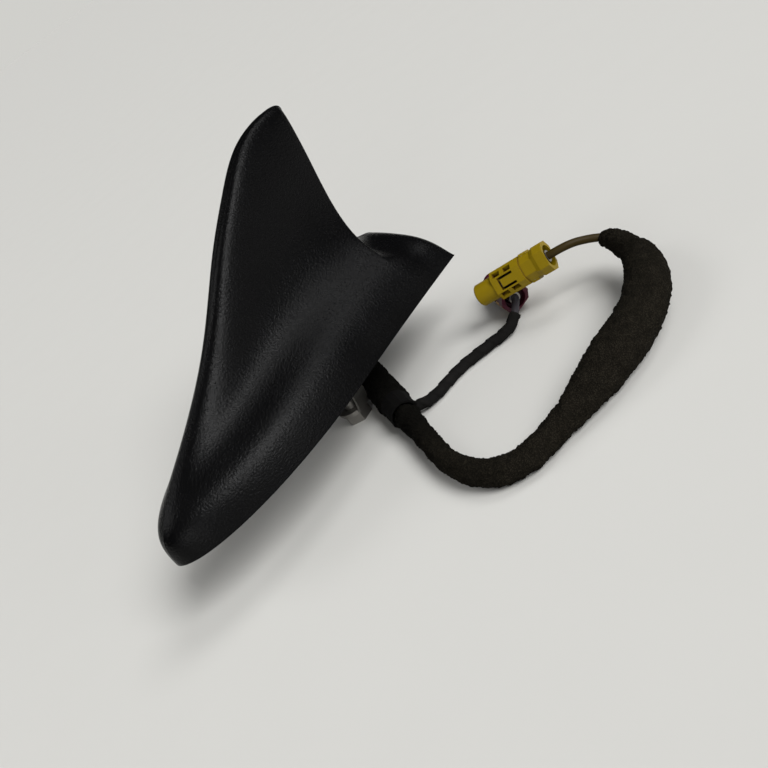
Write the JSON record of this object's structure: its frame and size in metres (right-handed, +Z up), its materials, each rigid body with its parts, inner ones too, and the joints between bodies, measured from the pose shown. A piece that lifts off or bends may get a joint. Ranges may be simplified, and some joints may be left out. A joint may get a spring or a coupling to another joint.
{
  "type": "shark-fin car roof antenna for satellite navigation and phone",
  "caption": "Black shark-fin roof antenna on a clamped base, with a foam-sleeved lead, a taped lead and their round coded radio plugs.",
  "frame": {"origin": "where the axis of the fixing spigot's bolt meets the roof skin, which is the underside of the seal", "axes": "+Z up out of the roof, nose of the fin towards -X, +Y to the far side"},
  "size_m": [0.1634, 0.1613, 0.1097],
  "materials": {
    "cover_black": "satin, fine moulded grain",
    "cast_zinc": "as cast, dull",
    "seal_rubber": "matt",
    "screw_steel": "zinc plated",
    "board_green": "solder mask over fibreglass",
    "patch_ceramic": "matt fired ceramic",
    "silvered": "silvered face",
    "pin_gold": "gold plated",
    "can_tin": "tinned sheet",
    "clamp_steel": "dark zinc plated",
    "lead_brown": "dull extruded jacket",
    "lead_grey": "dull extruded jacket",
    "foam": "open-cell foam, ragged",
    "cloth_black": "matt woven tape",
    "plug_yellow": "moulded, slightly dusty",
    "plug_bordeaux": "moulded",
    "clip_tan": "moulded",
    "contact_nickel": "nickel plated",
    "insulator_white": "white dielectric"
  },
  "bodies": {
    "root": {"fin_cover": "cover_black", "base_plate": "cast_zinc", "base_seal": "seal_rubber", "cover_screws": "screw_steel", "circuit_board": "board_green", "board_screws": "screw_steel", "gps_patch": "patch_ceramic", "patch_electrode": "silvered", "patch_feed_pin": "pin_gold", "screening_can": "can_tin", "mast_board": "board_green", "mast_brackets": "can_tin", "mast_contact": "pin_gold", "cable_grommet": "seal_rubber", "clamp_bolt": "clamp_steel", "clamp_claw": "clamp_steel", "gps_lead": "lead_brown", "phone_lead": "lead_grey", "foam_root": "foam", "foam_sleeve": "foam", "branch_band": "cloth_black", "cloth_tape": "cloth_black", "yellow_housing": "plug_yellow", "yellow_clip": "plug_yellow", "yellow_contact": "contact_nickel", "yellow_insulator": "insulator_white", "yellow_pin": "pin_gold", "yellow_ferrule": "contact_nickel", "bordeaux_housing": "plug_bordeaux", "bordeaux_clip": "clip_tan", "bordeaux_contact": "contact_nickel", "bordeaux_insulator": "insulator_white", "bordeaux_pin": "pin_gold", "bordeaux_ferrule": "contact_nickel"}
  },
  "joints": []
}
